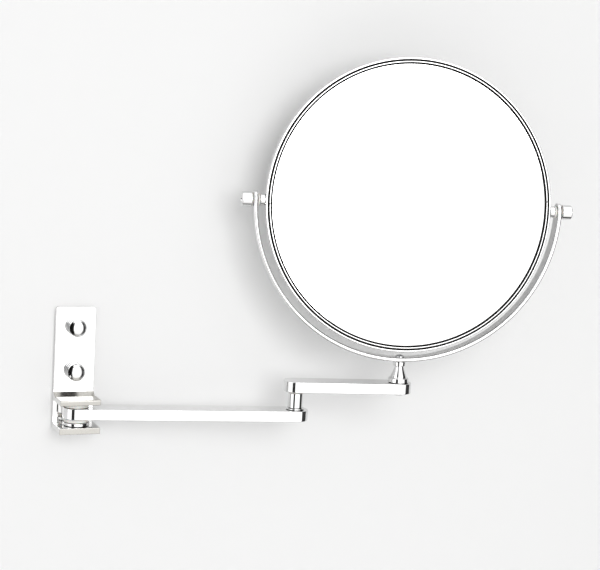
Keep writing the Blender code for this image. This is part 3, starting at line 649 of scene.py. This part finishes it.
path = node(yoke_tree, "GeometryNodeSetCurveNormal", {"Curve": path.outputs[0]}, mode="Z_UP")
strip = node(yoke_tree, "GeometryNodeCurvePrimitiveQuadrilateral",
             {"Width": given["Thickness"], "Height": given["Width"]}, mode="RECTANGLE")
strip = node(yoke_tree, "GeometryNodeFilletCurve",
             {"Curve": strip.outputs[0], "Radius": given["Edge Radius"]},
             {"Count": 8, "Limit Radius": True}, mode="POLY")
swept = node(yoke_tree, "GeometryNodeCurveToMesh",
             {"Curve": path.outputs[0], "Profile Curve": strip.outputs[0]}, {"Fill Caps": True})
# Above the pivots the width shrinks to nothing along a half ellipse.
where = node(yoke_tree, "ShaderNodeSeparateXYZ",
             {0: node(yoke_tree, "GeometryNodeInputPosition").outputs[0]})
climb = maths(yoke_tree, "DIVIDE", maths(yoke_tree, "MAXIMUM", where.outputs["Y"], 0.0),
              given["Tip Rise"])
climb = maths(yoke_tree, "MINIMUM", climb, 0.999)
narrowing = maths(yoke_tree, "SQRT", maths(yoke_tree, "SUBTRACT", 1.0, maths(
    yoke_tree, "MULTIPLY", climb, climb)))
pinched = node(yoke_tree, "ShaderNodeCombineXYZ",
               {"X": where.outputs["X"], "Y": where.outputs["Y"],
                "Z": maths(yoke_tree, "MULTIPLY", where.outputs["Z"], narrowing)})
rounded_tips = node(yoke_tree, "GeometryNodeSetPosition",
                    {"Geometry": swept.outputs[0], "Position": pinched.outputs[0]})
solid = node(yoke_tree, "GeometryNodeRealizeInstances", {"Geometry": rounded_tips.outputs[0]})
finished = node(yoke_tree, "GeometryNodeSetMaterial",
                {"Geometry": solid.outputs[0], "Material": given["Finish"]})
node(yoke_tree, "NodeGroupOutput", {"Geometry": finished.outputs[0]})
yoke_seed = bpy.data.objects.new("yoke_seed", bpy.data.meshes.new("yoke_seed"))
bpy.context.scene.collection.objects.link(yoke_seed)
strip_blank = grown("strip_blank", yoke_seed, yoke_tree, {
    "Bend Radius": (YOKE_INNER + YOKE_THICK / 2) * MM,
    "Bend Depth": (YOKE_BOTTOM_INNER + YOKE_THICK / 2) * MM, "Tip Rise": YOKE_TIP_RISE * MM,
    "Thickness": YOKE_THICK * MM, "Width": YOKE_WIDTH * MM, "Edge Radius": YOKE_EDGE * MM,
    "Stations": 420, "Finish": bar_chrome})


def cross_bore(radius):
    """A cutter along the tilt axis, through both sides of a ring or a fork."""
    shape = rod(radius, -125 * MM, 125 * MM)
    bmesh.ops.rotate(shape, verts=shape.verts, matrix=Matrix.Rotation(math.pi / 2, 3, "Y"))
    return shape


strip_shape = bmesh.new()
strip_shape.from_mesh(strip_blank.data)
bpy.data.objects.remove(strip_blank, do_unlink=True)
yoke = shaped("fork_strip", strip_shape, [cross_bore(STUD_BORE * MM)])
yoke_place = fork_place @ Matrix.Translation((0, 0, MIRROR_HEIGHT * MM))
stand_up = Matrix.Rotation(math.pi / 2, 4, "X")
fit(yoke, bar_chrome, "fork", "chrome", "yoke", at=yoke_place @ stand_up)
seat = MIRROR_HEIGHT - YOKE_BOTTOM_INNER + RUN_GAP
star = rod(1.5 * MM, (seat + 0.5) * MM, (seat + 4) * MM, 6)
fit(lathe("fork_screw", [(0, seat - 0.25, 0), (3.2, seat - 0.25, 0.05), (3.2, seat + 0.4, 0.2),
                         (1.9, seat + 1.1, 1.2), (0, seat + 1.3, 0)], [star]),
    polished_steel, "fork", "steel", "yoke_screw", at=fork_place)

# ---------------------------------------------------------------------------------------------
# Mirror head. A rolled and brazed brass hoop with a faintly swelled face; a glass lies in it on
# each side against a black seal, held by a snap-in bezel, with a board between the two. The seal's
# black is partly painted shade, and a black ring in the groove outside each bezel is painted shade.
# ---------------------------------------------------------------------------------------------
HOOP_OUTER = 103
HOOP_INNER = 101.5
HOOP_HALF_DEPTH = 4.2
BEZEL_INNER, BEZEL_OUTER = 99.4, 100.15
SEAL_INNER = 98.1
GLASS_RADIUS = 99.7
GLASS_BOW = 1.5
BOW_STEPS = 24
BOSS_BORE = 2.9
RIM_STEPS = 256
JOINTS_AT = ((101, 7), (-101, -2.5))
LEAN = math.radians(2.3)
head_place = Matrix.Translation(tilt_place) @ Matrix.Rotation(
    math.atan2(tilt_axis.y, tilt_axis.x), 4, "Z")
face_out = head_place @ Matrix.Rotation(math.pi / 2 - LEAN, 4, "X")
hoop_outline = [(HOOP_INNER, -HOOP_HALF_DEPTH, 0.3), (HOOP_OUTER - 0.25, -HOOP_HALF_DEPTH, 1.2),
                (HOOP_OUTER, -1.2, 3), (HOOP_OUTER, 1.2, 3),
                (HOOP_OUTER - 0.25, HOOP_HALF_DEPTH, 1.2), (HOOP_INNER, HOOP_HALF_DEPTH, 0.3)]
rim_chrome = metal("rim chrome", (0.74, 0.74, 0.74), (0.66, 0.655, 0.64), 0.05, smear=0.05,
                   relief=0.000004)


def slit(across, up, width, low, high):
    """A narrow radial cutter, set on the rim at one of its joints."""
    cut = bmesh.new()
    bmesh.ops.create_cube(cut, size=1)
    bmesh.ops.scale(cut, verts=cut.verts, vec=(8 * MM, width * MM, (high - low) * MM))
    bmesh.ops.translate(cut, verts=cut.verts, vec=(across * MM, up * MM, (high + low) / 2 * MM))
    return cut


# The hoop's two brazed joints show as fine scores, in line with the gaps in the snap-in rings.
scores = [slit(across, up, 0.5, HOOP_HALF_DEPTH - 0.9, 6) for across, up in JOINTS_AT]
hoop = lathe("hoop", hoop_outline, [*scores, cross_bore(BOSS_BORE * MM)], segments=RIM_STEPS)
fit(hoop, rim_chrome, "mirror", "chrome", "mirror_hoop", at=face_out)
for name, side, replaced in (("bezel_front", 1, "front_bezel"), ("bezel_back", -1, "rear_bezel")):
    outline = [(BEZEL_INNER, side * 3.7, 0.1), (BEZEL_OUTER, side * 3.7, 0.1),
               (BEZEL_OUTER, side * 4.5, 0.25), (BEZEL_INNER, side * 4.5, 0.25)]
    gaps = [slit(across, up, 0.7, side * 4.2 - 1, side * 4.2 + 1) for across, up in JOINTS_AT]
    fit(lathe(name, outline, gaps, segments=RIM_STEPS), rim_chrome, "mirror", "chrome", replaced,
        at=face_out)

# Black rubber: the seal round each glass is a real part whose black is partly painted shade for the dark
# line at the glass edge.
seal_rubber_and_painted_shade = coated("black seal rubber and painted shade", (0.005, 0.005, 0.005), (0.012, 0.012, 0.011), 0.55,
                {"Smear": 0.2, "Scratches": 0.1, "Skin": 0.8, "Skin Scale": 2200.0}, bump=0.5,
                Specular_IOR_Level=0.08)
for name, side in (("seal_front", 1), ("seal_back", -1)):
    lip = [(SEAL_INNER, side * 3.41, 0), (BEZEL_INNER, side * 3.41, 0),
           (BEZEL_INNER, side * 4.2, 0.05), (SEAL_INNER, side * 3.8, 0.2)]
    fit(lathe(name, lip, segments=RIM_STEPS), seal_rubber_and_painted_shade, "mirror", "nylon", at=face_out)
    # A black ring filling the groove between bezel and hoop: painted shade.
    painted_shadow_ring = [(BEZEL_OUTER, side * 2.2, 0), (HOOP_INNER, side * 2.2, 0),
              (HOOP_INNER, side * 3.9, 0.05), (BEZEL_OUTER, side * 3.9, 0.05)]
    fit(lathe(name + "_outer", painted_shadow_ring, segments=RIM_STEPS), seal_rubber_and_painted_shade, "mirror", "nylon", at=face_out)

silvering = coated("silvered glass", (0.97, 0.975, 0.97), (0.955, 0.96, 0.957), 0.012,
                   {"Smear Scale": 22.0, "Smear": 0.015, "Scratches": 0.02, "Skin": 0.05},
                   Metallic=1.0)
flat_glass = [(0, 1.4, 0), (GLASS_RADIUS, 1.4, 0.1), (GLASS_RADIUS, 3.4, 0.3), (0, 3.4, 0)]
bow = [(GLASS_RADIUS * step / BOW_STEPS, GLASS_BOW * (1 - (step / BOW_STEPS) ** 2))
       for step in range(BOW_STEPS + 1)]
bowed_glass = [(radius, -3.4 + swell, 0) for radius, swell in bow]
bowed_glass += [(radius, -1.4 + swell, 0) for radius, swell in reversed(bow)]
fit(lathe("glass_plain", flat_glass, segments=RIM_STEPS), silvering, "mirror", "mirror_glass",
    "plain_glass", at=face_out)
fit(lathe("glass_magnifying", bowed_glass, segments=RIM_STEPS), silvering, "mirror", "mirror_glass",
    "magnifying_glass", at=face_out)

# ---------------------------------------------------------------------------------------------
# Tilt pivots and knobs. On each side a boss riveted into the hoop, a nylon washer, the yoke's
# tip, a second washer, and a turned knob on a steel stud.
# ---------------------------------------------------------------------------------------------
KNOB_START = 112
KNOB_END = 119.2
BOSS_RADIUS = 4.1
BOSS_FACE = 106.2
right_out = (0, math.pi / 2, 0)
left_out = (0, -math.pi / 2, 0)
both_sides = {"Count": 2, "First Turn": right_out, "Turn Step": (0, -math.pi, 0)}
boss_blank = lathe("boss_blank", [
    (STUD_BORE, 100.7, 0.05), (2.6, 100.7, 0.05), (2.6, 103.1, 0.05), (BOSS_RADIUS, 103.1, 0.2),
    (BOSS_RADIUS, BOSS_FACE, 0.3), (STUD_BORE, BOSS_FACE, 0.1)])
bosses = grown("bosses", boss_blank, repeats, {**both_sides, "Finish": turned_chrome})
fit(bosses, None, "mirror", "chrome", "pivot_boss_left", "pivot_boss_right", at=head_place)
washer_blank = lathe("washer_blank", ring(STUD_BORE, BOSS_RADIUS, 106.5, 107.8, 0.2))
washers = grown("pivot_washers", washer_blank, repeats, {**both_sides, "Finish": nylon})
fit(washers, None, "fork", "nylon", "tilt_washer_left", "tilt_washer_right", at=head_place)
knob_outline = [
    (STUD_BORE, KNOB_START, 0.05), (5.3, KNOB_START, 0.45), (5.3, KNOB_END, 0.9), (2.4, KNOB_END, 0.25),
    (2.1, KNOB_END - 0.8, 0.1), (0, KNOB_END - 0.8, 0), (0, KNOB_END - 2.1, 0),
    (STUD_BORE, KNOB_END - 2.1, 0.05)]
for side, body, turn in (("left", "knob_l", left_out), ("right", "knob_r", right_out)):
    one_side = {"Count": 1, "First Turn": turn}
    knob = grown("clamp_knob_" + side, lathe("knob_blank", knob_outline), repeats,
                 {**one_side, "Finish": turned_chrome})
    fit(knob, None, body, "chrome", "knob_" + side, at=head_place)
    washer_blank = lathe("washer_blank", ring(STUD_BORE, 4.8, 111.4, 111.7, 0.1))
    washer = grown("clamp_washer_" + side, washer_blank, repeats, {**one_side, "Finish": nylon})
    fit(washer, None, body, "nylon", "knob_washer_" + side, at=head_place)
    frame["nodes"]["knob_stud_" + side].material_slots[0].material = polished_steel
frame["nodes"]["core_board"].material_slots[0].material = nylon

# ---------------------------------------------------------------------------------------------
# Studio. A pale wall behind the bracket and a pale floor, one large soft light in front and a
# little above, and soft white surroundings with two dark screens that draw lines in the chrome.
# ---------------------------------------------------------------------------------------------
paint = bpy.data.materials.new("wall paint")
paint.use_nodes = True
paint_tree = paint.node_tree
paint_shader = paint_tree.nodes["Principled BSDF"]
paint_shader.inputs["Base Color"].default_value = (0.92, 0.92, 0.918, 1)
paint_shader.inputs["Roughness"].default_value = 0.85
paint_shader.inputs["Specular IOR Level"].default_value = 0.2
clear = node(paint_tree, "ShaderNodeBsdfTransparent")
behind = node(paint_tree, "ShaderNodeNewGeometry").outputs["Backfacing"]
one_way = node(paint_tree, "ShaderNodeMixShader",
               {0: behind, 1: paint_shader.outputs[0], 2: clear.outputs[0]})
paint_tree.links.new(one_way.outputs[0], paint_tree.nodes["Material Output"].inputs["Surface"])
WALL_REACH = 2.5
FLOOR_HEIGHT = -0.62
WALL_GAP = 0.0004
CARD_NEAR, CARD_FAR = 0.05, 0.06
SKY_LEVEL = 1.85
AMBIENT = 0.6
BACKDROP = 0.9
LAMP_PLACE = (0.05, -1.85, 0.55)
CAMERA_PLACE = (-0.2485, -0.9815, 0.2176)
for name, corners in (
        ("studio_wall", [(-WALL_REACH, FLOOR_HEIGHT), (WALL_REACH, FLOOR_HEIGHT),
                         (WALL_REACH, WALL_REACH), (-WALL_REACH, WALL_REACH)]),
        ("studio_floor", [(-WALL_REACH, -WALL_REACH), (WALL_REACH, -WALL_REACH),
                          (WALL_REACH, WALL_REACH), (-WALL_REACH, WALL_REACH)])):
    sheet = bpy.data.meshes.new(name)
    points = [(x, WALL_GAP, z) if name == "studio_wall" else (x, z, FLOOR_HEIGHT) for x, z in corners]
    sheet.from_pydata(points, [], [(0, 1, 2, 3)])
    board = bpy.data.objects.new(name, sheet)
    bpy.context.scene.collection.objects.link(board)
    sheet.materials.append(paint)
    board.visible_glossy = name == "studio_wall"

# A small black card beside the bracket. Only reflections from close by show it, so it darkens the
# screw covers and leaves the mirror clear.
card_black = bpy.data.materials.new("black card")
card_black.use_nodes = True
card_tree = card_black.node_tree
card_shader = card_tree.nodes["Principled BSDF"]
card_shader.inputs["Base Color"].default_value = (0.01, 0.01, 0.01, 1)
card_shader.inputs["Specular IOR Level"].default_value = 0.0
card_ray = node(card_tree, "ShaderNodeLightPath").outputs["Ray Length"]
card_far = ramp(card_tree, card_ray, CARD_NEAR, CARD_FAR)
card_seen = node(card_tree, "ShaderNodeMixShader",
                 {0: card_far, 1: card_shader.outputs[0],
                  2: node(card_tree, "ShaderNodeBsdfTransparent").outputs[0]})
card_tree.links.new(card_seen.outputs[0], card_tree.nodes["Material Output"].inputs["Surface"])
card_mesh = bpy.data.meshes.new("black_card")
card_mesh.from_pydata([(x, y, z) for x, y in ((-0.0145, -0.004), (-0.024, -0.03), (-0.026, -0.05))
                       for z in (0.0145, 0.08)], [], [(0, 1, 3, 2), (2, 3, 5, 4)])
card_mesh.materials.append(card_black)
card = bpy.data.objects.new("black_card", card_mesh)
bpy.context.scene.collection.objects.link(card)
for ray in ("camera", "diffuse", "shadow", "transmission", "volume_scatter"):
    setattr(card, "visible_" + ray, False)

surroundings = bpy.data.worlds.new("studio surroundings")
bpy.context.scene.world = surroundings
surroundings.use_nodes = True
sky = surroundings.node_tree
sky.nodes.clear()
toward = node(sky, "ShaderNodeSeparateXYZ",
              {0: node(sky, "ShaderNodeTexCoord").outputs["Generated"]})
bearing = maths(sky, "ARCTAN2", toward.outputs["X"],
                maths(sky, "MULTIPLY", toward.outputs["Y"], -1.0))
brightness = None
# Each screen: bearing of its middle, half its width and the softness of its edge, in degrees,
# and how much of the light it takes away.
for middle, half, soft, depth in ((-41, 13, 5, 0.98), (82, 37, 12, 0.97)):
    away = maths(sky, "ABSOLUTE", maths(sky, "SUBTRACT", bearing, math.radians(middle)))
    lit = ramp(sky, away, math.radians(half - soft / 2), math.radians(half + soft / 2), 1 - depth, 1)
    brightness = lit if brightness is None else maths(sky, "MULTIPLY", brightness, lit)
# The screens fade out overhead, so that no pattern gathers at the zenith.
brightness = maths(sky, "MAXIMUM", brightness, ramp(sky, toward.outputs["Z"], 0.6, 0.95))
low_side = ramp(sky, toward.outputs["Z"], -0.55, -0.24, 0.75, 1.0)
brightness = maths(sky, "MULTIPLY", brightness, low_side)
underside = ramp(sky, toward.outputs["Z"], -0.97, -0.72, 0.3, 1.0)
brightness = maths(sky, "MULTIPLY", brightness, underside)
brightness = maths(sky, "MULTIPLY", brightness, SKY_LEVEL)
ray = node(sky, "ShaderNodeLightPath")
seen = node(sky, "ShaderNodeMix", {"Factor": ray.outputs["Is Glossy Ray"], "B": brightness},
            {"A": AMBIENT}, data_type="FLOAT")
shown = node(sky, "ShaderNodeMix", {"Factor": ray.outputs["Is Camera Ray"],
                                    "A": seen.outputs["Result"]}, {"B": BACKDROP}, data_type="FLOAT")
tint = node(sky, "ShaderNodeMix", {"Factor": low_side},
            {"A": (1, 0.965, 0.9, 1), "B": (1, 1, 1, 1)}, data_type="RGBA")
glow = node(sky, "ShaderNodeBackground", {"Strength": shown.outputs["Result"],
                                          "Color": tint.outputs["Result"]})
node(sky, "ShaderNodeOutputWorld", {"Surface": glow.outputs[0]})

lamp = bpy.data.lights.new("soft light", "AREA")
lamp.shape = "DISK"
lamp.size = 1.3
lamp.energy = 14.3
lamp_object = bpy.data.objects.new("soft light", lamp)
lamp_object.location = LAMP_PLACE
aim = Vector((0.15, 0, 0.1)) - lamp_object.location
lamp_object.rotation_euler = aim.to_track_quat("-Z", "Y").to_euler()
bpy.context.scene.collection.objects.link(lamp_object)

bpy.context.scene.view_settings.view_transform = "Standard"
lens = bpy.data.cameras.new("camera")
lens.lens = 88.9
lens.sensor_width = 36
camera = bpy.data.objects.new("camera", lens)
bpy.context.scene.collection.objects.link(camera)
YAW, PITCH, ROLL = math.radians(22.85), math.radians(-7.03), math.radians(3.21)
forward = Vector((math.sin(YAW) * math.cos(PITCH), math.cos(YAW) * math.cos(PITCH), math.sin(PITCH)))
level = forward.cross(Vector((0, 0, 1))).normalized()
upright = level.cross(forward)
rightward = level * math.cos(ROLL) + upright * math.sin(ROLL)
skyward = rightward.cross(forward)
turn = Matrix((rightward, skyward, -forward)).transposed()
camera.matrix_world = Matrix.Translation(CAMERA_PLACE) @ turn.to_4x4()
bpy.context.scene.camera = camera
